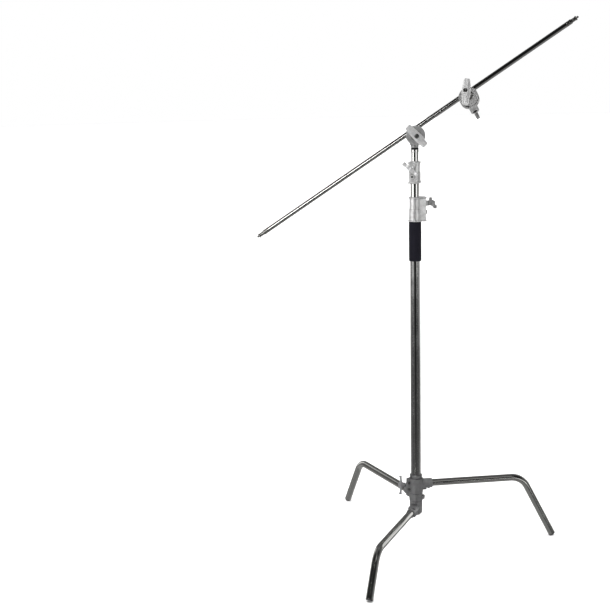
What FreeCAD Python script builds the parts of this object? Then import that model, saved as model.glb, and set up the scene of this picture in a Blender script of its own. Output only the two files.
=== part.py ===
"""A century stand: turtle base with three nesting legs, a column with two risers, a boom and two grip heads.

Units are millimetres. The origin is on the floor, on the column's axis, with +Z up the column.
The boom lies close to the XZ plane and rises towards +X, and both grip heads have their T-handles towards -Y.
"""
import FreeCAD, Part
import math
import os

from FreeCAD import Placement, Rotation
from FreeCAD import Vector as V

X, Y, Z = V(1, 0, 0), V(0, 1, 0), V(0, 0, 1)

# ---------------------------------------------------------------- driving dimensions

# Running fit of a sliding tube or turning shaft, and the gap between bodies that only pass each other.
running_fit = 0.08
gap = 0.4

# Legs: bent tubes that stand at three heights, so that they nest when they are folded together.
leg_radius = 12.5
leg_bore = 10.8
leg_bend_radius = 66.0
leg_start = 26.0
foot_circle = 504.0
foot_plug = 4.0
foot_round = 2.0
legs = {
    "right": {"azimuth": 11.6, "hub_height": 228.0, "corner_height": 230.0, "corner_reach": 388.0},
    "left": {"azimuth": 122.4, "hub_height": 187.5, "corner_height": 192.0, "corner_reach": 396.0},
    "front": {"azimuth": 252.6, "hub_height": 138.0, "corner_height": 143.5, "corner_reach": 423.0},
}

# Base castings, stacked on one post: the hub that holds the column, then one ring for each folding leg.
hub_bottom, hub_top, hub_radius = 196.0, 250.0, 25.0
clamp_neck_top, clamp_neck_radius = 263.0, 22.5
left_ring_bottom, left_ring_top, left_ring_radius = 167.4, 195.5, 24.0
front_ring_bottom, front_ring_top, front_ring_radius = 121.0, 166.8, 22.5
post_radius = 12.0
clamp_lug_reach = 34.5
base_screw_height = 222.0
base_knob_angle = 25.0

# Column tubes.
column_radius, column_bore = 17.5, 16.0
column_bottom = 200.0
riser_1_radius, riser_1_bore = 15.0, 13.5
riser_2_radius, riser_2_bore = 12.5, 11.0
riser_length = 1000.0
bush_length = 40.0
sleeve_radius, sleeve_bottom = 21.4, 1033.5

# Collars: each grips the tube below and guides the riser above.
lower_collar = {
    "bottom": 1169.0, "height": 83.5, "step": 42.5, "azimuth": 15.0, "face": 35.5,
    "lower_radius": 21.2, "upper_radius": 19.2, "bead_radius": 23.6, "half_width": 14.5,
    "socket": column_radius, "guide": riser_1_radius, "knob_height": 61.0, "screw_height": 31.0,
}
upper_collar = {
    "bottom": 1300.4, "height": 72.0, "step": 36.5, "azimuth": 256.0, "face": 33.5,
    "lower_radius": 19.6, "upper_radius": 17.8, "bead_radius": 22.4, "half_width": 13.5,
    "socket": riser_1_radius, "guide": riser_2_radius, "knob_height": 50.0, "screw_height": 23.0,
}
bead = 5.0
boss_radius = 9.5
boss_length = 8.0
clamp_screw_radius = 4.0
grub_radius = 4.0

# Top pin of the second riser, which the first grip head sits on.
pin_radius = 8.0
pin_ring_bottom, pin_ring_top, pin_ring_radius = 1404.0, 1413.5, 13.5

# Grip heads. In a head's own frame the discs turn about Y, the T-handle is at -Y, and the parting
# plane of the jaws is y = 0. The boom runs along X, boom_offset above the head's axis.
head_height = 1462.0
head_swivel = 4.0
head_stud_distance = 37.0
disc_radius = 32.0
half_parting = 1.5
outer_face = 16.6
inner_back = 14.0
tooth_height = 0.8
back_disc_front, back_disc_back = 15.2, 22.0
bolt_radius = 5.0
facet_distance = 57.6
bar_distance = 45.6
bar_half_length = 43.5
bar_end_radius, bar_middle_radius = 10.4, 15.0
neck_radius = 11.0
jaw_travel = 3.0
boom_offset = 19.0
groove_clearance = 0.3

# Boom: a 16 mm tube with a machined spigot in each end.
boom_radius, boom_bore = 8.0, 6.5
boom_half_length = 640.0
boom_tilt = 33.4
boom_shift = 8.3
spigot_length = 47.0

# Second grip head: where it sits on the boom, and how far it has rolled about it.
head_2_place = 204.0
head_2_roll = 33.0
receiver_turn = 9.0
receiver_distance = 40.0
receiver_bore = 8.06
receiver_radius = 14.5
receiver_half_length = 23.0

# Rest angles of the T-handles about their heads' axes.
handle_1_angle = -79.9
handle_2_angle = 54.0


# ---------------------------------------------------------------- helpers

def rod(radius, start, end):
    """A solid cylinder from start to end."""
    return Part.makeCylinder(radius, (end - start).Length, start, end - start)


def pipe(outer, inner, start, end):
    """A tube from start to end."""
    return rod(outer, start, end).cut(rod(inner, start, end))


def block(low, high):
    """A box between two corners."""
    size = high - low
    return Part.makeBox(size.x, size.y, size.z, low)


def end_edges(shape, at, direction):
    """The edges of the flat end at distance `at` along `direction`."""
    return [e for e in shape.Edges
            if all(abs(p.dot(direction) - at) < 1e-4 for p in e.discretize(5))]


def round_end(shape, radius, at, direction):
    """Rounds the outer edges of the flat end at distance `at` along `direction`."""
    return shape.makeFillet(radius, end_edges(shape, at, direction))


def rounded_rod(radius, start, end, rounding):
    """A cylinder with both of its rims rounded."""
    solid = rod(radius, start, end)
    return solid.makeFillet(rounding, [e for e in solid.Edges if e.Closed])


def rounded_block(low, high, rounding):
    """A box with every edge rounded."""
    solid = block(low, high)
    return solid.makeFillet(rounding, solid.Edges)


def fuse(first, *others):
    """One solid from several that touch, with the seams between equal faces removed."""
    return first.multiFuse(list(others)).removeSplitter()


def hexagon_hole(across, start, depth_vector):
    """A hexagonal socket of the given width across its flats."""
    corner = across / math.sqrt(3)
    turn = Rotation(Z, depth_vector)
    points = [start + turn.multVec(V(corner * math.cos(math.radians(60 * i)),
                                     corner * math.sin(math.radians(60 * i)), 0)) for i in range(7)]
    return Part.Face(Part.makePolygon(points)).extrude(depth_vector)


def socket_screw(head_radius, head_height, shank_radius, seat, direction, shank_length):
    """A socket-head screw whose head sits on `seat`, pointing out along `direction`."""
    out = V(direction).normalize()
    top = seat + out * head_height
    head = round_end(rod(head_radius, seat, top), 0.6, top.dot(out), out)
    head = head.cut(hexagon_hole(head_radius, top, out * -head_height * 0.6))
    return head.fuse(rod(shank_radius, seat, seat - out * shank_length))


def turned(azimuth, height):
    """Places a shape made about the Z axis, facing +X, at a height on the column."""
    return Placement(V(0, 0, height), Rotation(Z, azimuth))


def placed(shape, placement):
    """A copy of the shape, moved by a placement."""
    copy = shape.copy()
    copy.Placement = placement.multiply(copy.Placement)
    return copy


# ---------------------------------------------------------------- wing knobs

def wing_knob():
    """A cast wing knob. Its screw runs along X, its wings along Z, and its hub starts at the origin."""
    hub_radius, hub_length, half_span, half_thickness = 8.6, 13.0, 31.5, 6.0
    outer = [V(10.5, 0, half_span), V(6.8, 0, 21), V(7.4, 0, 13), V(13, 0, 0)]
    inner = [V(-0.8, 0, half_span), V(-0.2, 0, 20), V(-2.5, 0, 11), V(-6, 0, 0)]
    sides = []
    for points in (outer, inner):
        mirrored = [V(p.x, 0, -p.z) for p in reversed(points[:-1])]
        spline = Part.BSplineCurve()
        spline.interpolate(points + mirrored)
        sides.append(spline.toShape())
    tip = 1.2
    tips = [Part.Arc(V(-0.8, 0, s * half_span), V(4.8, 0, s * (half_span + tip)),
                     V(10.5, 0, s * half_span)).toShape() for s in (1, -1)]
    outline = Part.Wire(Part.__sortEdges__([sides[0], tips[1], sides[1], tips[0]]))
    wings = Part.Face(outline).extrude(V(0, 2 * half_thickness, 0))
    wings.translate(V(hub_length, -half_thickness, 0))
    flat = [e for e in wings.Edges if abs(abs(e.CenterOfMass.y) - half_thickness) < 0.01]
    wings = wings.makeFillet(1.6, flat)
    hub = rod(hub_radius, V(0, 0, 0), V(hub_length + 2, 0, 0))
    hub = round_end(hub, 1.0, 0, X)
    return fuse(wings, hub)


def clamp_screw(inner_end, knob_start):
    """The wing knob's screw, from its brass tip out to inside the hub, along X."""
    inside_hub = 11.0
    return rod(clamp_screw_radius, V(inner_end, 0, 0), V(knob_start + inside_hub, 0, 0))


def wing_clamp(tip_at, boss_end):
    """A wing knob, its screw and its brass tip on the X axis: the tip starts at tip_at."""
    tip_length = 3.0
    hub_at = boss_end + 1.2
    screw = clamp_screw(tip_at + tip_length, hub_at)
    knob = wing_knob()
    knob.translate(V(hub_at, 0, 0))
    knob = knob.cut(screw)
    tip = rod(clamp_screw_radius - 0.5, V(tip_at, 0, 0), V(tip_at + tip_length, 0, 0))
    return {"wing_knob": knob, "wing_screw": screw, "screw_tip": tip}


# ---------------------------------------------------------------- base

def leg_parts(leg):
    """A bent leg tube, and the plug in its foot, in the plane of the leg's azimuth."""
    start = V(leg_start, 0, leg["hub_height"])
    corner = V(leg["corner_reach"], 0, leg["corner_height"])
    drop = math.atan2(foot_circle - corner.x, corner.z)
    rest_height = (leg_radius - foot_round) * math.sin(drop) + foot_round * (1 - math.cos(drop))
    foot = V(foot_circle, 0, rest_height)
    out, down = (corner - start).normalize(), (foot - corner).normalize()
    bend = out.getAngle(down)
    tangent = leg_bend_radius * math.tan(bend / 2)
    bend_start, bend_end = corner - out * tangent, corner + down * tangent
    to_centre = (down - out).normalize()
    centre = corner + to_centre * (leg_bend_radius / math.cos(bend / 2))
    arc = Part.Arc(bend_start, centre - to_centre * leg_bend_radius, bend_end)
    tube_end = foot - down * foot_plug
    route = Part.Wire([Part.makeLine(start, bend_start), arc.toShape(), Part.makeLine(bend_end, tube_end)])
    skins = []
    for radius in (leg_radius, leg_bore):
        circle = Part.Wire(Part.makeCircle(radius, start, out))
        skins.append(route.makePipeShell([circle], True, False))
    tube = skins[0].cut(skins[1])
    plug = rod(leg_radius, tube_end, foot)
    plug = plug.makeFillet(foot_round, end_edges(plug, foot.dot(down), down))
    plug = plug.fuse(rod(leg_bore, tube_end - down * 14, tube_end))
    turn = turned(leg["azimuth"], 0)
    return placed(tube, turn), placed(plug, turn)


def leg_socket(leg, radius, reach):
    """The cast socket that a leg tube is pressed into, drawn along +X with a casting draft."""
    height = leg["hub_height"]
    cone = Part.makeCone(radius, radius - 1.2, reach, V(0, 0, height), X)
    return cone.makeFillet(1.5, end_edges(cone, reach, X))


def socket_bore(leg, reach):
    """The hole that a leg tube fills inside its socket."""
    rise = (leg["corner_height"] - leg["hub_height"]) / (leg["corner_reach"] - leg_start)
    direction = V(1, 0, rise).normalize()
    start = V(leg_start, 0, leg["hub_height"])
    return rod(leg_radius, start, start + direction * reach)


def leg_screw(leg, along):
    """A socket screw under a leg's socket that locks the tube."""
    seat = V(along, 0, leg["hub_height"] - 17.2)
    return socket_screw(4.2, 3.0, 2.4, seat, -Z, 4.2)


def base_hub():
    """The casting that holds the column, the right leg's socket and the clamp lug."""
    right = legs["right"]
    barrel = rounded_rod(hub_radius, V(0, 0, hub_bottom), V(0, 0, hub_top), 2.0)
    neck = Part.makeCone(clamp_neck_radius - 2.2, clamp_neck_radius, clamp_neck_top - hub_top + 4,
                         V(0, 0, hub_top - 4), Z)
    neck = neck.makeFillet(1.0, end_edges(neck, clamp_neck_top, Z))
    lug = rounded_block(V(-clamp_lug_reach, -20, 205), V(0, 8, 248), 4.0)
    lug_boss = rod(boss_radius, V(-clamp_lug_reach - 2, 0, base_screw_height), V(0, 0, base_screw_height))
    socket = placed(leg_socket(right, 18.0, 58.0), turned(right["azimuth"], 0))
    web = placed(rounded_block(V(5, -5, 204), V(38, 5, 222), 2.0), turned(right["azimuth"], 0))
    hub = fuse(barrel, neck, lug, lug_boss, socket, web)
    hub = hub.cut(rod(column_radius, V(0, 0, column_bottom), V(0, 0, clamp_neck_top + 1)))
    hub = hub.cut(rod(post_radius, V(0, 0, hub_bottom - 1), V(0, 0, column_bottom + 1)))
    hub = hub.cut(placed(socket_bore(right, 60), turned(right["azimuth"], 0)))
    hub = hub.cut(placed(leg_screw(right, 46.0), turned(right["azimuth"], 0)))
    for i in range(4):
        slot = block(V(-1.2, 0, hub_top + 2), V(1.2, clamp_neck_radius + 3, clamp_neck_top + 1))
        hub = hub.cut(placed(slot, Placement(V(), Rotation(Z, 45 + 90 * i))))
    hub = hub.cut(rod(clamp_screw_radius + running_fit, V(-60, 0, base_screw_height), V(-10, 0, base_screw_height)))
    return hub.cut(hub_screws())


def hub_screws():
    """Two socket screws in the front face of the hub's clamp lug."""
    screws = [socket_screw(4.0, 2.6, 2.4, V(-24, -20, height), -Y, 12.0) for height in (213.0, 236.0)]
    return screws[0].fuse(screws[1])


def hub_post():
    """The post that the two folding rings turn on, with the flange that carries them."""
    flange = rounded_rod(17.0, V(0, 0, front_ring_bottom - 6.4), V(0, 0, front_ring_bottom - gap), 1.0)
    post = rod(post_radius, V(0, 0, front_ring_bottom - gap), V(0, 0, column_bottom))
    return fuse(post, flange)


def folding_ring(leg, bottom, top, radius, socket_radius, reach):
    """A casting that turns on the post and carries one leg, drawn facing +X."""
    ring = rounded_rod(radius, V(0, 0, bottom), V(0, 0, top), 1.5)
    socket = leg_socket(leg, socket_radius, reach)
    middle = leg["hub_height"]
    web = rounded_block(V(5, -socket_radius + 4, max(bottom, middle - socket_radius)),
                        V(reach - 12, socket_radius - 4, min(top, middle + socket_radius)), 1.5)
    casting = fuse(ring, socket, web)
    above = rod(hub_radius + 3, V(0, 0, top), V(0, 0, top + 40))
    casting = casting.cut(above)
    casting = casting.cut(rod(post_radius + running_fit, V(0, 0, bottom - 60), V(0, 0, top + 60)))
    return casting.cut(socket_bore(leg, reach + 5))


def left_leg_casting():
    """The ring of the left leg, with the boss of its stop pin."""
    leg = legs["left"]
    casting = folding_ring(leg, left_ring_bottom, left_ring_top, left_ring_radius, 16.8, 60.0)
    casting = casting.cut(leg_screw(leg, 48.0))
    pin_boss = placed(rounded_rod(8.5, V(15, 0, 181), V(31, 0, 181), 1.5), turned(-leg["azimuth"] - 12, 0))
    pin_boss = pin_boss.cut(rod(post_radius + 2, V(0, 0, 160), V(0, 0, 200)))
    return placed(fuse(casting, pin_boss), turned(leg["azimuth"], 0))


def front_leg_casting():
    """The ring of the front leg."""
    leg = legs["front"]
    casting = folding_ring(leg, front_ring_bottom, front_ring_top, front_ring_radius, 17.0, 66.0)
    casting = casting.cut(leg_screw(leg, 52.0))
    return placed(casting, turned(leg["azimuth"], 0))


def base_parts():
    """Everything in the base, by name."""
    parts = {"base_hub": base_hub(), "hub_screws": hub_screws(), "hub_post": hub_post(),
             "left_leg_casting": left_leg_casting(), "front_leg_casting": front_leg_casting()}
    screw_places = {"right": 46.0, "left": 48.0, "front": 52.0}
    for name, leg in legs.items():
        tube, plug = leg_parts(leg)
        parts[name + "_leg_tube"] = tube
        parts[name + "_leg_foot"] = plug
        parts[name + "_leg_screw"] = placed(leg_screw(leg, screw_places[name]), turned(leg["azimuth"], 0))
    clamp = wing_clamp(column_radius + gap, clamp_lug_reach + 2)
    for name, shape in clamp.items():
        shape = placed(shape, Placement(V(), Rotation(X, base_knob_angle)))
        parts["base_" + name] = placed(shape, turned(180, base_screw_height))
    return parts


# ---------------------------------------------------------------- column

def upright_edges(shape, from_x, to_x):
    """The straight edges along Z whose middles lie between two values of x."""
    return [e for e in shape.Edges if from_x < e.CenterOfMass.x < to_x
            and abs(e.tangentAt(e.FirstParameter).z) > 0.999]


def collar_slice(radius, half_width, face, low, high):
    """A barrel joined to a square-ended block, with the upright corners rounded, from low to high."""
    corner, inner_corner = 3.0, 2.5
    barrel = rod(radius, V(0, 0, low), V(0, 0, high))
    sides = block(V(0, -half_width, low), V(face, half_width, high))
    piece = fuse(barrel, sides)
    piece = piece.makeFillet(corner, upright_edges(piece, face - 0.1, face + 0.1))
    return piece.makeFillet(inner_corner, upright_edges(piece, 1.0, face - corner - 1))


def collar_bead(collar, radius, low):
    """The rounded bead round one end of a collar."""
    grow, rounding = collar["bead_radius"] - collar["lower_radius"], 2.3
    piece = collar_slice(radius, collar["half_width"] + grow, collar["face"] + grow, low, low + bead)
    return piece.makeFillet(rounding, end_edges(piece, low, Z) + end_edges(piece, low + bead, Z))


def collar_casting(collar):
    """A collar drawn facing +X: a barrel round the tubes, a block for the clamp screw and two beads."""
    height, step, face, knob_z = (collar[k] for k in ("height", "step", "face", "knob_height"))
    body = collar_slice(collar["upper_radius"], collar["half_width"], face, 1, height - 1)
    lower = rounded_rod(collar["lower_radius"], V(0, 0, 1), V(0, 0, step), 1.4)
    bottom_bead = collar_bead(collar, collar["bead_radius"], 0)
    top_bead = collar_bead(collar, collar["bead_radius"] - 1, height - bead)
    knob_boss = rod(boss_radius, V(face - 3, 0, knob_z), V(face + boss_length, 0, knob_z))
    screw_boss = Part.makeCone(8.6, 7.0, 9, V(face - 3, 0, collar["screw_height"]), X)
    casting = fuse(body, lower, bottom_bead, top_bead, knob_boss, screw_boss)
    casting = casting.cut(rod(collar["socket"], V(0, 0, -1), V(0, 0, step - 2.5)))
    casting = casting.cut(rod(collar["guide"] + running_fit, V(0, 0, step - 4), V(0, 0, height + 1)))
    casting = casting.cut(rod(clamp_screw_radius + running_fit, V(0, 0, knob_z), V(2 * face, 0, knob_z)))
    return casting.cut(rod(grub_radius, V(0, 0, collar["screw_height"]), V(2 * face, 0, collar["screw_height"])))


def collar_screw(collar):
    """The grub screw that locks the collar to the tube in its socket, drawn facing +X."""
    inner, outer = collar["socket"], collar["face"] + 5.2
    height = collar["screw_height"]
    screw = rod(grub_radius, V(inner, 0, height), V(outer, 0, height))
    return screw.cut(hexagon_hole(grub_radius, V(outer, 0, height), V(-4.5, 0, 0)))


def collar_parts(prefix, collar, knob_angle):
    """A collar, its grub screw and its wing clamp, at their place on the column."""
    place = turned(collar["azimuth"], collar["bottom"])
    parts = {prefix + "_collar": placed(collar_casting(collar), place),
             prefix + "_collar_screw": placed(collar_screw(collar), place)}
    turn_bar = Placement(V(0, 0, collar["knob_height"]), Rotation(X, knob_angle))
    clamp = wing_clamp(collar["guide"] + gap, collar["face"] + boss_length)
    for name, shape in clamp.items():
        parts[prefix + "_" + name] = placed(placed(shape, turn_bar), place)
    return parts


def riser_parts():
    """The column tube, its grip sleeve, both risers with their guide bushes, and the top pin."""
    column_top = lower_collar["bottom"] + lower_collar["step"] - 2.6
    riser_1_top = upper_collar["bottom"] + upper_collar["step"] - 2.6
    riser_1_bottom = riser_1_top - riser_length
    riser_2_bottom = pin_ring_bottom - riser_length
    parts = {
        "column_tube": pipe(column_radius, column_bore, V(0, 0, column_bottom), V(0, 0, column_top)),
        "grip_sleeve": pipe(sleeve_radius, column_radius, V(0, 0, sleeve_bottom), V(0, 0, lower_collar["bottom"])),
        "riser_1_tube": pipe(riser_1_radius, riser_1_bore, V(0, 0, riser_1_bottom), V(0, 0, riser_1_top)),
        "riser_1_bush": pipe(column_bore - running_fit, riser_1_radius, V(0, 0, riser_1_bottom),
                             V(0, 0, riser_1_bottom + bush_length)),
        "riser_2_tube": pipe(riser_2_radius, riser_2_bore, V(0, 0, riser_2_bottom), V(0, 0, pin_ring_bottom)),
        "riser_2_bush": pipe(riser_1_bore - running_fit, riser_2_radius, V(0, 0, riser_2_bottom),
                             V(0, 0, riser_2_bottom + bush_length)),
        "top_pin": top_pin(),
    }
    ring_tube, ring_centre = 2.5, pin_ring_top + 2.6
    parts["pin_ring"] = Part.makeTorus(pin_radius + ring_tube + 0.1, ring_tube, V(0, 0, ring_centre), Z)
    return parts


def top_pin():
    """The 16 mm pin on top of the second riser, with its plug, ring and locking groove."""
    plug = rod(riser_2_bore, V(0, 0, pin_ring_bottom - 34), V(0, 0, pin_ring_bottom))
    ring = rounded_rod(pin_ring_radius, V(0, 0, pin_ring_bottom), V(0, 0, pin_ring_top), 0.8)
    pin_top = head_height + 17
    pin = rod(pin_radius, V(0, 0, pin_ring_top), V(0, 0, pin_top))
    pin = pin.makeChamfer(1.5, end_edges(pin, pin_top, Z))
    groove = pipe(pin_radius + 1, pin_radius - 1.4, V(0, 0, head_height - 8), V(0, 0, head_height + 8))
    return fuse(plug, ring, pin).cut(groove)


# ---------------------------------------------------------------- grip heads, in the head's own frame

def jaw_grooves():
    """The V grooves that the jaws close on: the boom's, and three smaller ones for thinner bars."""
    grooves = []
    for radius, offset, along_x in ((boom_radius, boom_offset, True), (4.8, -18.0, True),
                                    (3.2, 18.5, False), (6.35, -17.5, False)):
        reach = (radius + groove_clearance) * math.sqrt(2)
        flat = radius + 1.4
        side = reach - flat
        points = [V(0, -flat, -side), V(0, -flat, side), V(0, 0, reach), V(0, flat, side),
                  V(0, flat, -side), V(0, 0, -reach), V(0, -flat, -side)]
        groove = Part.Face(Part.makePolygon(points)).extrude(V(4 * disc_radius, 0, 0))
        groove.translate(V(-2 * disc_radius, 0, offset))
        if not along_x:
            groove.rotate(V(), Y, 90)
        grooves.append(groove)
    return grooves[0].multiFuse(grooves[1:])


def spring_pocket(face):
    """The round pocket in a jaw that holds one end of the spring."""
    pocket_radius, pocket_depth = 8.6, 5.0
    return rod(pocket_radius, V(0, 0, 0), V(0, math.copysign(pocket_depth, face), 0))


def outer_jaw():
    """The jaw next to the T-handle, with the seat of its thrust washer."""
    jaw = rod(disc_radius, V(0, -outer_face, 0), V(0, -half_parting, 0))
    jaw = jaw.makeFillet(2.6, end_edges(jaw, outer_face, -Y))
    jaw = jaw.makeFillet(0.7, end_edges(jaw, half_parting, -Y))
    jaw = jaw.cut(rod(bolt_radius + 0.3, V(0, -30, 0), V(0, 5, 0)))
    jaw = jaw.cut(rod(17.0, V(0, -outer_face - 1, 0), V(0, -outer_face + 3.2, 0)))
    return jaw.cut(jaw_grooves()).cut(spring_pocket(-outer_face))


def thrust_washer():
    """The dished washer that the T-handle's neck bears on."""
    front, back = -outer_face + 0.6, -outer_face + 3.2
    washer = pipe(16.6, bolt_radius + 0.4, V(0, front, 0), V(0, back, 0))
    washer = washer.cut(pipe(14.6, 12.0, V(0, front - 1, 0), V(0, front + 0.9, 0)))
    return washer


def inner_jaw():
    """The jaw next to the body, with a ring of rosette teeth on its back."""
    teeth, inner_teeth = 60, 25.0
    jaw = rod(disc_radius, V(0, half_parting, 0), V(0, inner_back, 0))
    jaw = jaw.makeFillet(0.7, end_edges(jaw, half_parting, Y))
    ring = pipe(disc_radius - 0.5, inner_teeth, V(0, inner_back - 0.2, 0), V(0, inner_back + tooth_height, 0))
    slots = []
    for i in range(teeth):
        slot = block(V(-0.85, inner_back, inner_teeth - 1), V(0.85, inner_back + 2, disc_radius + 1))
        slot.rotate(V(), Y, 360.0 * i / teeth)
        slots.append(slot)
    ring = ring.cut(slots[0].multiFuse(slots[1:]))
    bearing = rod(20.0, V(0, inner_back - 0.2, 0), V(0, back_disc_front - 0.3, 0))
    jaw = jaw.multiFuse([ring, bearing])
    jaw = jaw.cut(rod(bolt_radius + 0.3, V(0, 0, 0), V(0, 30, 0)))
    return jaw.cut(jaw_grooves()).cut(spring_pocket(outer_face))


def back_disc():
    """The disc of the head's body that the rosette teeth grip."""
    disc = rod(disc_radius - 0.5, V(0, back_disc_front, 0), V(0, back_disc_back, 0))
    return disc.makeFillet(2.2, end_edges(disc, back_disc_back, Y))


def jaw_spring():
    """The spring between the jaws that opens them when the handle is slackened."""
    mean_radius, wire, length, pitch = 7.0, 0.8, 7.4, 3.0
    coil = Part.makeHelix(pitch, length, mean_radius).Edges[0]
    start, along = coil.valueAt(coil.FirstParameter), coil.tangentAt(coil.FirstParameter)
    circle = Part.Wire(Part.makeCircle(wire, start, along))
    spring = Part.Wire([coil]).makePipeShell([circle], True, True)
    spring.translate(V(0, 0, -length / 2))
    spring.rotate(V(), X, 90)
    return spring


def clamp_bolt(back_end):
    """The bolt through both jaws: fixed in the body, threaded into the T-handle."""
    return rod(bolt_radius, V(0, back_end, 0), V(0, -facet_distance + 2.2, 0))


def stop_screw():
    """The stop washer and screw on the bolt's end, in the T-handle's recess."""
    seat = -facet_distance + 2.2
    washer = rod(7.0, V(0, seat, 0), V(0, seat - 1.2, 0))
    head = rod(4.2, V(0, seat - 1.2, 0), V(0, seat - 2.1, 0))
    return washer.fuse(head).cut(hexagon_hole(4.4, V(0, seat - 2.2, 0), V(0, 1.6, 0)))


def t_handle():
    """The cast T-handle: a bar along X that tapers to both ends, a flat facet in front and a neck behind."""
    slope = (bar_middle_radius - bar_end_radius) / bar_half_length
    crown = 10.0
    crown_radius = bar_middle_radius - slope * crown
    end = bar_half_length
    outline = [
        Part.makeLine(V(-end, 0, 0), V(-end, 0, bar_end_radius)),
        Part.makeLine(V(-end, 0, bar_end_radius), V(-crown, 0, crown_radius)),
        Part.Arc(V(-crown, 0, crown_radius), V(0, 0, bar_middle_radius - slope * crown / 2),
                 V(crown, 0, crown_radius)).toShape(),
        Part.makeLine(V(crown, 0, crown_radius), V(end, 0, bar_end_radius)),
        Part.makeLine(V(end, 0, bar_end_radius), V(end, 0, 0)),
        Part.makeLine(V(end, 0, 0), V(-end, 0, 0)),
    ]
    bar = Part.Face(Part.Wire(outline)).revolve(V(), X, 360)
    for side in (1, -1):
        bar = bar.makeFillet(1.5, end_edges(bar, end, X * side))
    bar.translate(V(0, -bar_distance, 0))
    neck_end = -outer_face + 0.6 - gap
    neck = rod(neck_radius, V(0, -bar_distance, 0), V(0, neck_end, 0))
    handle = bar.fuse(neck)
    seam = [e for e in handle.Edges if -bar_distance + 1 < e.CenterOfMass.y < neck_end - 2
            and abs(e.CenterOfMass.x) < 5 and e.Length > 5 and max(abs(v.Point.x) for v in e.Vertexes) < 15]
    handle = handle.makeFillet(6.5, seam)
    front = block(V(-60, -facet_distance - 20, -30), V(60, -facet_distance, 30))
    handle = handle.cut(front)
    handle = handle.cut(rod(bolt_radius + running_fit, V(0, -70, 0), V(0, 0, 0)))
    recess = rod(7.4, V(0, -facet_distance - 1, 0), V(0, -facet_distance + 2.2 + jaw_travel + gap, 0))
    return handle.cut(recess)


def head_1_bracket():
    """The first head's body: the back disc, the block that sits on the top pin and two bosses behind."""
    stud = head_stud_distance
    top, bottom, flange_bottom = 28.0, -33.0, pin_ring_top + 5.6 - head_height
    knob_z, lower_boss_z, boss_end = 2.0, -22.5, stud + 22
    front = block(V(-16.5, back_disc_back - 1, bottom), V(16.5, stud + 1, top))
    front = front.makeFillet(2.0, [e for e in front.Edges if all(v.Point.y > stud for v in e.Vertexes)
                                   or all(v.Point.z > 0 for v in e.Vertexes)])
    barrel = rounded_rod(15.4, V(0, stud, bottom), V(0, stud, top - 1.5), 2.5)
    flange = rounded_rod(13.5, V(0, stud, flange_bottom), V(0, stud, bottom + 1), 1.6)
    upper_boss = rounded_rod(8.4, V(0, stud, knob_z), V(0, boss_end, knob_z), 1.0)
    lower_boss = rounded_rod(8.4, V(0, stud, lower_boss_z), V(0, boss_end, lower_boss_z), 2.5)
    body = fuse(back_disc(), front, barrel, flange, upper_boss, lower_boss)
    body = body.cut(rod(pin_radius + running_fit, V(0, stud, flange_bottom - 1), V(0, stud, 19)))
    body = body.cut(rod(clamp_screw_radius + running_fit, V(0, stud, knob_z), V(0, boss_end + 1, knob_z)))
    return body.cut(rod(bolt_radius, V(0, 0, 0), V(0, 26, 0)))


def head_1_wing_clamp():
    """The wing clamp that locks the first head on its pin, drawn in the head's frame."""
    stud, knob_z, bar_turn = head_stud_distance, 2.0, 32.0
    clamp = wing_clamp(pin_radius - 1.4 + gap, 22 + 8.5)
    place = Placement(V(0, stud, knob_z), Rotation(Y, -bar_turn).multiply(Rotation(Z, 90)))
    return {name: placed(shape, place) for name, shape in clamp.items()}


def head_2_receiver():
    """The second head's body: the back disc, a web and a receiver tube along Z for a 16 mm pin."""
    centre = back_disc_back + receiver_distance
    web = rounded_block(V(-13.0, back_disc_back - 2, -receiver_half_length + 1),
                        V(13.0, centre, receiver_half_length - 1), 1.5)
    low, high = V(0, centre, -receiver_half_length), V(0, centre, receiver_half_length)
    tube = rounded_rod(receiver_radius, low, high, 1.2)
    knob_boss = rounded_rod(8.4, V(0, centre, 0), V(0, centre + receiver_radius + 3, 0), 1.0)
    body = fuse(back_disc(), web, tube, knob_boss)
    body = body.cut(rod(receiver_bore, low - Z, high + Z))
    body = body.cut(rod(clamp_screw_radius + running_fit, V(0, centre, 0), V(0, centre + 40, 0)))
    return body.cut(rod(bolt_radius, V(0, 0, 0), V(0, 32, 0)))


def head_2_wing_clamp():
    """The wing clamp in the end of the receiver, drawn in the head's frame."""
    clamp = wing_clamp(receiver_bore + 1.5, receiver_radius + 3)
    place = Placement(V(0, back_disc_back + receiver_distance, 0), Rotation(Z, 90))
    return {name: placed(shape, place) for name, shape in clamp.items()}


def jaw_parts(bolt_back, handle_angle):
    """The pieces that both heads share, split into those that follow the jaws and those that don't."""
    handle = placed(t_handle(), Placement(V(), Rotation(Y, -handle_angle)))
    jaws = {"inner_jaw": inner_jaw(), "outer_jaw": outer_jaw(), "thrust_washer": thrust_washer(),
            "jaw_spring": jaw_spring(), "t_handle": handle}
    fixed = {"clamp_bolt": clamp_bolt(bolt_back), "stop_screw": stop_screw()}
    return jaws, fixed


# ---------------------------------------------------------------- boom

def boom_spigot(side):
    """The machined spigot in one end of the boom: a plug, two bands, a knurled neck, a flange and a stud."""
    start = boom_half_length - spigot_length
    sections = [(boom_bore, -20, 0), (boom_radius, 0, 9), (boom_radius - 0.8, 9, 10.5), (boom_radius, 10.5, 20.5),
                (boom_radius - 1.6, 20.5, 22), (6.1, 22, 36), (boom_radius - 0.2, 36, 39.5), (3.175, 39.5, spigot_length)]
    shapes = [rod(radius, V(start + low, 0, 0), V(start + high, 0, 0)) for radius, low, high in sections]
    flange = shapes[6]
    shapes[6] = flange.makeChamfer(1.0, [e for e in flange.Edges if e.Closed])
    stud = shapes[7]
    shapes[7] = stud.makeChamfer(0.6, end_edges(stud, boom_half_length, X))
    spigot = shapes[0].multiFuse(shapes[1:])
    return placed(spigot, Placement(V(), Rotation(Z, 0 if side > 0 else 180)))


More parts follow.
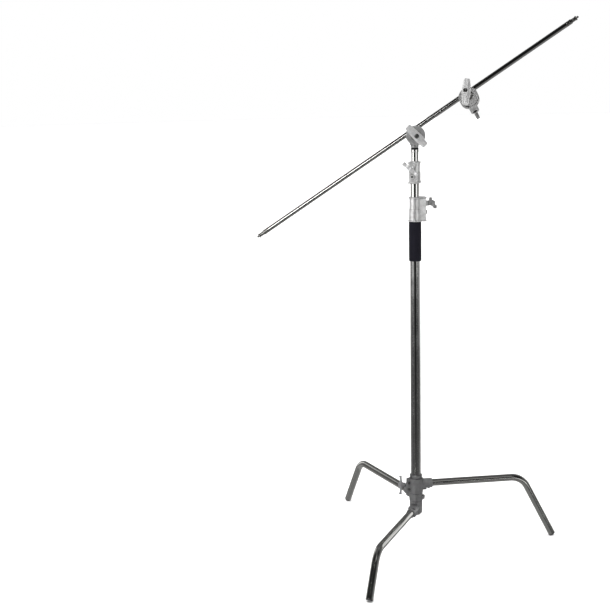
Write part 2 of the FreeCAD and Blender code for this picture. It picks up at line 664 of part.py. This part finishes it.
def boom_parts():
    """The boom tube and its two spigots, along X with the middle at the origin."""
    end = boom_half_length - spigot_length
    return {"boom_tube": pipe(boom_radius, boom_bore, V(-end, 0, 0), V(end, 0, 0)),
            "boom_spigot_lower": boom_spigot(-1), "boom_spigot_upper": boom_spigot(1)}


# ---------------------------------------------------------------- assembly

def assembly():
    """Every sub-part in its rest place, by node name."""
    parts = base_parts()
    parts.update(riser_parts())
    parts.update(collar_parts("lower", lower_collar, 110.0))
    parts.update(collar_parts("upper", upper_collar, 51.0))

    swivel = Placement(V(), Rotation(Z, head_swivel))
    head_1 = swivel.multiply(Placement(V(0, -head_stud_distance, head_height), Rotation()))
    tilted = head_1.multiply(Placement(V(), Rotation(Y, -boom_tilt)))
    boom = tilted.multiply(Placement(V(boom_shift, 0, boom_offset), Rotation()))
    rolled = boom.multiply(Placement(V(head_2_place, 0, 0), Rotation(X, -head_2_roll)))
    head_2 = rolled.multiply(Placement(V(0, 0, -boom_offset), Rotation()))
    head_2_body = head_2.multiply(Placement(V(), Rotation(Y, receiver_turn)))

    parts["head_1_bracket"] = placed(head_1_bracket(), head_1)
    for name, shape in head_1_wing_clamp().items():
        parts["head_1_" + name] = placed(shape, head_1)
    jaws, fixed = jaw_parts(26.0, handle_1_angle)
    for name, shape in jaws.items():
        parts["head_1_" + name] = placed(shape, tilted)
    for name, shape in fixed.items():
        parts["head_1_" + name] = placed(shape, head_1)

    for name, shape in boom_parts().items():
        parts[name] = placed(shape, boom)

    parts["head_2_receiver"] = placed(head_2_receiver(), head_2_body)
    for name, shape in head_2_wing_clamp().items():
        parts["head_2_" + name] = placed(shape, head_2_body)
    jaws, fixed = jaw_parts(32.0, handle_2_angle)
    for name, shape in jaws.items():
        parts["head_2_" + name] = placed(shape, head_2)
    for name, shape in fixed.items():
        parts["head_2_" + name] = placed(shape, head_2_body)
    return parts


os.makedirs("parts", exist_ok=True)
for node, shape in assembly().items():
    shape.exportStep("parts/" + node + ".step")
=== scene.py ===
"""Looks of the century stand: materials, studio and camera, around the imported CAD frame."""
import math

import bpy
from mathutils import Matrix, Vector

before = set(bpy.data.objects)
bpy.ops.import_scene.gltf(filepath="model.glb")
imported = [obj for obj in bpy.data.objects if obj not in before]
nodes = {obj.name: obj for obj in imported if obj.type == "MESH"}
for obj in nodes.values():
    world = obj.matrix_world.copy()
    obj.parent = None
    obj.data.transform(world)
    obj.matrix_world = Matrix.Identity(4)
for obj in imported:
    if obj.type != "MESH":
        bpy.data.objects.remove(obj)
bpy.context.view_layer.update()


# ---------------------------------------------------------------- node helpers

def add(tree, kind, inputs=None, **settings):
    """A new shader node, with its settings, and its inputs set or linked."""
    node = tree.nodes.new(kind)
    for name, value in settings.items():
        setattr(node, name, value)
    for name, value in (inputs or {}).items():
        if isinstance(value, bpy.types.NodeSocket):
            tree.links.new(value, node.inputs[name])
        else:
            node.inputs[name].default_value = value
    return node


def math_node(tree, operation, first, second=0.0, third=0.0, clamp=False):
    """The output of a Math node."""
    node = add(tree, "ShaderNodeMath", {0: first, 1: second, 2: third}, operation=operation, use_clamp=clamp)
    return node.outputs[0]


def ramp(tree, value, low, high, start=0.0, end=1.0, smooth=False):
    """Maps value from low..high to start..end, clamped."""
    node = add(tree, "ShaderNodeMapRange", {0: value, 1: low, 2: high, 3: start, 4: end}, clamp=True)
    if smooth:
        node.interpolation_type = "SMOOTHSTEP"
    return node.outputs[0]


def noise(tree, vector, scale, detail=2.0, roughness=0.5):
    """A noise texture's value on a vector."""
    return add(tree, "ShaderNodeTexNoise", {"Vector": vector, "Scale": scale, "Detail": detail,
                                            "Roughness": roughness}).outputs[0]


def stretched(tree, vector, scale, rotation=(0, 0, 0)):
    """The vector turned back by a rotation, then scaled along its axes."""
    turned = add(tree, "ShaderNodeVectorRotate", {"Vector": vector, "Rotation": rotation},
                 rotation_type="EULER_XYZ", invert=True)
    return add(tree, "ShaderNodeMapping", {"Vector": turned.outputs[0], "Scale": scale}).outputs[0]


def mix_colour(tree, factor, first, second):
    """A mix of two colours, each a tuple or a socket."""
    node = add(tree, "ShaderNodeMix", data_type="RGBA")
    for index, value in ((0, factor), (6, first), (7, second)):
        if isinstance(value, bpy.types.NodeSocket):
            tree.links.new(value, node.inputs[index])
        else:
            node.inputs[index].default_value = value if index == 0 else (*value, 1.0)
    return node.outputs[2]


def grey(level):
    """A neutral colour."""
    return (level, level, level)


def new_material(name):
    """An empty material with its Principled shader and the object's own coordinates."""
    material = bpy.data.materials.new(name)
    material.use_nodes = True
    tree = material.node_tree
    shader = tree.nodes["Principled BSDF"]
    coords = add(tree, "ShaderNodeTexCoord").outputs["Object"]
    return material, tree, shader, coords


def dot_product(tree, first, second):
    """The dot product of two vectors."""
    return add(tree, "ShaderNodeVectorMath", {0: first, 1: second}, operation="DOT_PRODUCT").outputs["Value"]


def soft_edges(tree, radius):
    """The normal with every sharp edge rounded off by radius."""
    return add(tree, "ShaderNodeBevel", {"Radius": radius}, samples=4).outputs[0]


def edge_mask(tree, rounded):
    """1 on the edges that the rounded normal softens, 0 on the faces."""
    plain = add(tree, "ShaderNodeNewGeometry").outputs["Normal"]
    return ramp(tree, dot_product(tree, plain, rounded), 0.995, 0.93)


def add_bump(tree, shader, height, strength, distance, normal):
    """Raises the surface by a height map, on top of a normal."""
    bump = add(tree, "ShaderNodeBump", {"Strength": strength, "Distance": distance, "Height": height,
                                        "Normal": normal})
    tree.links.new(bump.outputs[0], shader.inputs["Normal"])


def corner_shade(tree, distance):
    """Ambient occlusion used to paint shade: 1 in the open, down to 0 in the corners and slots narrower than
    distance.
    """
    return add(tree, "ShaderNodeAmbientOcclusion", {"Distance": distance}, samples=6).outputs["AO"]


# ---------------------------------------------------------------- materials

def satin_casting(name, colour, roughness, metallic=0.82, dirt=0.22):
    """Satin metallic paint on a casting: flake, light orange peel, rubbed edges, and painted shade that
    darkens the corners.
    """
    material, tree, shader, coords = new_material(name)
    flake = noise(tree, coords, 5200.0, 1.0)
    peel = noise(tree, coords, 900.0, 2.0)
    broad = noise(tree, coords, 42.0, 5.0, 0.62)
    rounded = soft_edges(tree, 0.0006)
    worn = ramp(tree, noise(tree, coords, 160.0, 3.0), 0.38, 0.62)
    rubbed = math_node(tree, "MULTIPLY", edge_mask(tree, rounded), worn)
    dark, light = tuple(c * (1 - dirt) for c in colour), tuple(min(1.0, c * 1.06) for c in colour)
    paint = mix_colour(tree, ramp(tree, broad, 0.36, 0.6), dark, light)
    paint = mix_colour(tree, math_node(tree, "MULTIPLY", ramp(tree, flake, 0.45, 0.75), 0.30), paint,
                       tuple(min(1.0, c * 1.5) for c in colour))
    paint = mix_colour(tree, math_node(tree, "MULTIPLY", rubbed, 0.55), paint, grey(0.86))
    # Painted shade: ambient occlusion darkens the paint in corners and slots, down to 7 % of its colour.
    paint = mix_colour(tree, ramp(tree, corner_shade(tree, 0.018), 0.85, 0.3, 0.0, 0.92), paint,
                       tuple(c * 0.07 for c in colour))
    tree.links.new(paint, shader.inputs["Base Color"])
    shader.inputs["Metallic"].default_value = metallic
    rough = ramp(tree, broad, 0.3, 0.7, roughness + 0.07, roughness - 0.05)
    rough = math_node(tree, "ADD", rough, ramp(tree, flake, 0.3, 0.7, -0.03, 0.03))
    rough = math_node(tree, "SUBTRACT", rough, math_node(tree, "MULTIPLY", rubbed, 0.12), clamp=True)
    tree.links.new(rough, shader.inputs["Roughness"])
    waves, grain = math_node(tree, "MULTIPLY", peel, 0.8), math_node(tree, "MULTIPLY", flake, 0.2)
    add_bump(tree, shader, math_node(tree, "ADD", waves, grain), 0.10, 0.0006, rounded)
    return material


def polished_tube(name, colour, roughness, streak=(240.0, 240.0, 5.0), turn=(0, 0, 0), spread=1.0):
    """Bright polished steel tube: lengthwise draw lines, hand smears and a few dull spots. Spread scales how
    much the finish varies along the tube."""
    material, tree, shader, coords = new_material(name)
    draw = noise(tree, stretched(tree, coords, streak, turn), 4.0, 3.0, 0.6)
    smear = noise(tree, coords, 16.0, 5.0, 0.65)
    spots = noise(tree, coords, 260.0, 3.0, 0.6)
    tint = mix_colour(tree, ramp(tree, smear, 0.35, 0.65), tuple(c * 0.90 for c in colour), colour)
    tint = mix_colour(tree, ramp(tree, spots, 0.62, 0.74, 0.0, 0.22), tint, grey(0.30))
    tree.links.new(tint, shader.inputs["Base Color"])
    shader.inputs["Metallic"].default_value = 1.0
    drawn = ramp(tree, draw, 0.3, 0.7, roughness - 0.035 * spread, roughness + 0.045 * spread)
    smeared = ramp(tree, smear, 0.45, 0.72, 0.0, 0.09 * spread)
    tree.links.new(math_node(tree, "ADD", drawn, smeared, clamp=True), shader.inputs["Roughness"])
    add_bump(tree, shader, draw, 0.035 * spread, 0.0004, soft_edges(tree, 0.0005))
    return material


def turned_steel(name, colour, roughness, along, lines=2600.0):
    """Machined steel with fine lathe lines across the direction `along`."""
    material, tree, shader, coords = new_material(name)
    distance = dot_product(tree, coords, along)
    wobble = math_node(tree, "MULTIPLY", noise(tree, coords, 400.0), 0.0006)
    place = math_node(tree, "ADD", distance, wobble)
    strip = add(tree, "ShaderNodeCombineXYZ", {0: place}).outputs[0]
    cut = noise(tree, strip, lines, 2.0, 0.6)
    broad = noise(tree, coords, 90.0, 4.0)
    tint = mix_colour(tree, ramp(tree, broad, 0.35, 0.65), tuple(c * 0.75 for c in colour), colour)
    tree.links.new(tint, shader.inputs["Base Color"])
    shader.inputs["Metallic"].default_value = 1.0
    tree.links.new(ramp(tree, cut, 0.3, 0.7, roughness - 0.06, roughness + 0.10), shader.inputs["Roughness"])
    add_bump(tree, shader, cut, 0.16, 0.0003, soft_edges(tree, 0.0004))
    return material


def soft_grip(name):
    """The soft sleeve: near-black with a trace of blue, a fine pebble and a dusty bloom in patches."""
    material, tree, shader, coords = new_material(name)
    cells = {"Vector": coords, "Scale": 1500.0, "Randomness": 0.9}
    pebble = add(tree, "ShaderNodeTexVoronoi", cells).outputs[0]
    bloom = noise(tree, coords, 24.0, 5.0, 0.6)
    tint = mix_colour(tree, ramp(tree, bloom, 0.4, 0.68), (0.0044, 0.0040, 0.0085), (0.0080, 0.0074, 0.0135))
    tree.links.new(tint, shader.inputs["Base Color"])
    tree.links.new(ramp(tree, bloom, 0.35, 0.7, 0.62, 0.78), shader.inputs["Roughness"])
    shader.inputs["Specular IOR Level"].default_value = 0.2
    shader.inputs["Sheen Weight"].default_value = 0.02
    shader.inputs["Sheen Roughness"].default_value = 0.5
    add_bump(tree, shader, pebble, 0.22, 0.0004, soft_edges(tree, 0.0008))
    return material


def moulded(name, colour, roughness):
    """Moulded plastic or rubber with a fine spark texture and scuffs."""
    material, tree, shader, coords = new_material(name)
    spark = noise(tree, coords, 1900.0, 3.0)
    scuff = noise(tree, coords, 70.0, 5.0, 0.7)
    scuffed = tuple(min(1.0, c * 1.8 + 0.01) for c in colour)
    tint = mix_colour(tree, ramp(tree, scuff, 0.5, 0.75), colour, scuffed)
    tree.links.new(tint, shader.inputs["Base Color"])
    rough = ramp(tree, scuff, 0.3, 0.7, roughness - 0.06, roughness + 0.12)
    tree.links.new(rough, shader.inputs["Roughness"])
    add_bump(tree, shader, spark, 0.2, 0.0004, soft_edges(tree, 0.0006))
    return material


# How the boom lies at rest: its tilt above the floor and its swivel about the column.
boom_tilt, head_swivel = math.radians(33.4), math.radians(4.0)
boom_reach = math.cos(boom_tilt)
boom_along = Vector((boom_reach * math.cos(head_swivel), boom_reach * math.sin(head_swivel),
                     math.sin(boom_tilt)))

head_paint = satin_casting("head_paint", grey(0.60), 0.36)
handle_paint = satin_casting("handle_paint", grey(0.92), 0.32, metallic=0.76)
wing_paint = satin_casting("wing_paint", grey(0.50), 0.34)
collar_paint = satin_casting("collar_paint", grey(0.90), 0.32)
# The base castings' dark grey is partly their own paint and partly painted shade for the lesser light that
# reaches them low down.
base_paint_and_shade = satin_casting("base_paint_and_shade", (0.30, 0.30, 0.305), 0.40)
column_steel = polished_tube("column_steel", (0.66, 0.66, 0.655), 0.11)
riser_steel = polished_tube("riser_steel", (0.80, 0.80, 0.79), 0.07)
leg_steel = polished_tube("leg_steel", (0.62, 0.62, 0.60), 0.12, streak=(40.0, 40.0, 40.0))
boom_steel = polished_tube("boom_steel", (0.56, 0.56, 0.55), 0.035, streak=(5.0, 240.0, 240.0),
                           turn=(0, -boom_tilt, head_swivel), spread=0.35)
spigot_steel = turned_steel("spigot_steel", (0.40, 0.395, 0.38), 0.22, boom_along)
washer_steel = turned_steel("washer_steel", (0.52, 0.52, 0.51), 0.28, Vector((1, 0, 0)), lines=900.0)
screw_steel = turned_steel("screw_steel", (0.20, 0.20, 0.20), 0.35, Vector((0, 0, 1)), lines=1400.0)
brass = turned_steel("brass", (0.62, 0.46, 0.18), 0.32, Vector((0, 0, 1)))
sleeve_rubber = soft_grip("sleeve_rubber")
ring_rubber = moulded("ring_rubber", (0.012, 0.012, 0.012), 0.55)
foot_plastic = moulded("foot_plastic", (0.022, 0.022, 0.022), 0.5)
bush_plastic = moulded("bush_plastic", (0.62, 0.61, 0.58), 0.45)

finishes = {
    base_paint_and_shade: ["base_hub", "left_leg_casting", "front_leg_casting", "base_wing_knob"],
    column_steel: ["column_tube"],
    riser_steel: ["riser_1_tube", "riser_2_tube", "top_pin"],
    leg_steel: ["right_leg_tube", "left_leg_tube", "front_leg_tube"],
    foot_plastic: ["right_leg_foot", "left_leg_foot", "front_leg_foot"],
    sleeve_rubber: ["grip_sleeve"],
    ring_rubber: ["pin_ring"],
    bush_plastic: ["riser_1_bush", "riser_2_bush"],
    collar_paint: ["lower_collar", "upper_collar"],
    wing_paint: ["lower_wing_knob", "head_1_wing_knob", "head_2_wing_knob"],
    head_paint: ["head_1_bracket", "head_1_inner_jaw", "head_1_outer_jaw",
                 "head_2_receiver", "head_2_inner_jaw", "head_2_outer_jaw"],
    handle_paint: ["head_1_t_handle", "head_2_t_handle", "upper_wing_knob"],
    boom_steel: ["boom_tube"],
    spigot_steel: ["boom_spigot_lower", "boom_spigot_upper"],
    washer_steel: ["hub_post"] + [head + part for head in ("head_1_", "head_2_") for part in
                                  ("thrust_washer", "stop_screw", "clamp_bolt", "jaw_spring")],
    screw_steel: ["hub_screws", "right_leg_screw", "left_leg_screw", "front_leg_screw",
                  "lower_collar_screw", "upper_collar_screw"]
                 + [clamp + "_wing_screw" for clamp in ("base", "lower", "upper", "head_1", "head_2")],
    brass: [clamp + "_screw_tip" for clamp in ("base", "lower", "upper", "head_1", "head_2")],
}
for finish, names in finishes.items():
    for name in names:
        slots = nodes[name].data.materials
        slots.clear()
        slots.append(finish)


# ---------------------------------------------------------------- studio

# Light panels around the object: lowest and highest azimuth, from the camera's side towards +X, lowest and
# highest elevation, softness of the edges, all in degrees, and the level.
PANELS = (
    (-86, -33, -8, 9, 3, 1.75),
    (26, 56, -8, 3, 3, 1.5),
    (60, 88, -8, 30, 5, 0.14),
    (82, 126, -13, -6, 3, 0.62),
    (124, 146, -12, 24, 4, 1.0),
    (74, 134, -32, -18, 4, 0.28),
    (-134, -16, -26, -8, 4, 0.085),
    (20, 74, -26, -8, 4, 0.075),
    (-16, 20, -26, -19, 4, 0.10),
    (2, 42, 38, 66, 6, 0.38),
    (-32, -10, 18, 28, 1.5, 9.0),
    (-146, -124, -12, 34, 4, 0.9),
)
ROOM_LEVEL, BEHIND_LEVEL, CEILING_LEVEL, FLOOR_LEVEL = 0.012, 0.12, 0.12, 0.24


def studio_world():
    """The room that the metal reflects: light panels, and a dim level elsewhere that rises behind the object,
    overhead and underneath. The camera sees a white backdrop."""
    world = bpy.data.worlds.new("studio")
    bpy.context.scene.world = world
    world.use_nodes = True
    tree = world.node_tree
    tree.nodes.clear()
    direction = add(tree, "ShaderNodeTexCoord").outputs["Generated"]
    x, y, z = add(tree, "ShaderNodeSeparateXYZ", {0: direction}).outputs
    azimuth = math_node(tree, "ARCTAN2", x, math_node(tree, "MULTIPLY", y, -1.0))
    elevation = math_node(tree, "ARCSINE", z)

    def between(value, low, high, edge):
        """1 where the angle lies between low and high degrees, with soft edges."""
        rising = ramp(tree, value, math.radians(low - edge), math.radians(low + edge), smooth=True)
        falling = ramp(tree, value, math.radians(high + edge), math.radians(high - edge), smooth=True)
        return math_node(tree, "MULTIPLY", rising, falling)

    around = math_node(tree, "ABSOLUTE", azimuth)
    light = add(tree, "ShaderNodeValue").outputs[0]
    light.default_value = ROOM_LEVEL
    for low, high, bottom, top, edge, level in PANELS:
        across, upright = between(azimuth, low, high, edge), between(elevation, bottom, top, edge)
        panel = math_node(tree, "MULTIPLY", across, upright)
        light = math_node(tree, "ADD", light, math_node(tree, "MULTIPLY", panel, level))
    behind, overhead, underneath = (
        ramp(tree, angle, math.radians(start), math.radians(full), 0.0, level, True)
        for angle, start, full, level in ((around, 84, 102, BEHIND_LEVEL), (elevation, 60, 80, CEILING_LEVEL),
                                          (elevation, -23, -29, FLOOR_LEVEL)))
    for level in (math_node(tree, "MAXIMUM", behind, overhead), underneath):
        light = math_node(tree, "ADD", light, level)
    seen = add(tree, "ShaderNodeLightPath").outputs["Is Camera Ray"]
    studio = add(tree, "ShaderNodeBackground", {"Strength": light, "Color": (1.0, 0.997, 0.99, 1.0)})
    backdrop = add(tree, "ShaderNodeBackground", {"Strength": 1.0, "Color": (1.0, 1.0, 1.0, 1.0)})
    both = add(tree, "ShaderNodeMixShader", {0: seen, 1: studio.outputs[0], 2: backdrop.outputs[0]})
    add(tree, "ShaderNodeOutputWorld", {0: both.outputs[0]})


def studio_floor():
    """A wide pale floor that the metal doesn't reflect."""
    bpy.ops.mesh.primitive_circle_add(vertices=96, radius=40.0, fill_type="NGON", location=(0, 0, 0))
    floor = bpy.context.object
    floor.name = "studio_floor"
    material, _, shader, _ = new_material("pale_floor")
    shader.inputs["Base Color"].default_value = (0.92, 0.92, 0.92, 1.0)
    shader.inputs["Roughness"].default_value = 0.9
    shader.inputs["Specular IOR Level"].default_value = 0.0
    floor.data.materials.append(material)
    floor.visible_glossy = False


def overhead_sun():
    """A very soft light from straight above, which keeps the floor white up to the object's feet."""
    lamp = bpy.data.lights.new("overhead", "SUN")
    lamp.energy, lamp.angle = 4.6, math.radians(100)
    light = bpy.data.objects.new("overhead", lamp)
    light.location = (0, 0, 4)
    light.visible_glossy = False
    bpy.context.scene.collection.objects.link(light)


def soft_box(name, azimuth, elevation, distance, size, level):
    """A rectangular soft light that faces the middle of the stand, seen from there at an azimuth and
    elevation. The metal doesn't reflect it."""
    turn, rise = math.radians(azimuth), math.radians(elevation)
    toward = Vector((math.sin(turn) * math.cos(rise), -math.cos(turn) * math.cos(rise), math.sin(rise)))
    lamp = bpy.data.lights.new(name, "AREA")
    lamp.shape, lamp.size, lamp.size_y = "RECTANGLE", *size
    lamp.energy = level * math.pi * size[0] * size[1]
    light = bpy.data.objects.new(name, lamp)
    light.location = Vector((0.0, 0.0, 1.2)) + toward * distance
    light.rotation_euler = toward.to_track_quat("Z", "Y").to_euler()
    light.visible_camera = False
    light.visible_glossy = False
    bpy.context.scene.collection.objects.link(light)


def camera():
    """The camera: where it stands, and its pan, tilt and roll."""
    place, lens = Vector((0.0, -3.9566, 1.6685)), 68.46
    pan, tilt, roll = math.radians(5.54), math.radians(11.23), math.radians(-1.28)
    ahead = Vector((-math.sin(pan) * math.cos(tilt), math.cos(pan) * math.cos(tilt), -math.sin(tilt)))
    level = Vector((math.cos(pan), math.sin(pan), 0.0))
    upward = level.cross(ahead)
    right = level * math.cos(roll) + upward * math.sin(roll)
    up = upward * math.cos(roll) - level * math.sin(roll)
    data = bpy.data.cameras.new("camera")
    data.lens, data.sensor_width = lens, 36.0
    view = bpy.data.objects.new("camera", data)
    turn = Matrix((right, up, -ahead)).transposed().to_4x4()
    view.matrix_world = Matrix.Translation(place) @ turn
    bpy.context.scene.collection.objects.link(view)
    bpy.context.scene.camera = view


studio_world()
studio_floor()
overhead_sun()
soft_box("key", -46, 36, 2.6, (1.5, 1.1), 3.2)
soft_box("front", -14, 24, 3.4, (2.2, 2.2), 1.5)
camera()
bpy.context.scene.view_settings.view_transform = "Standard"
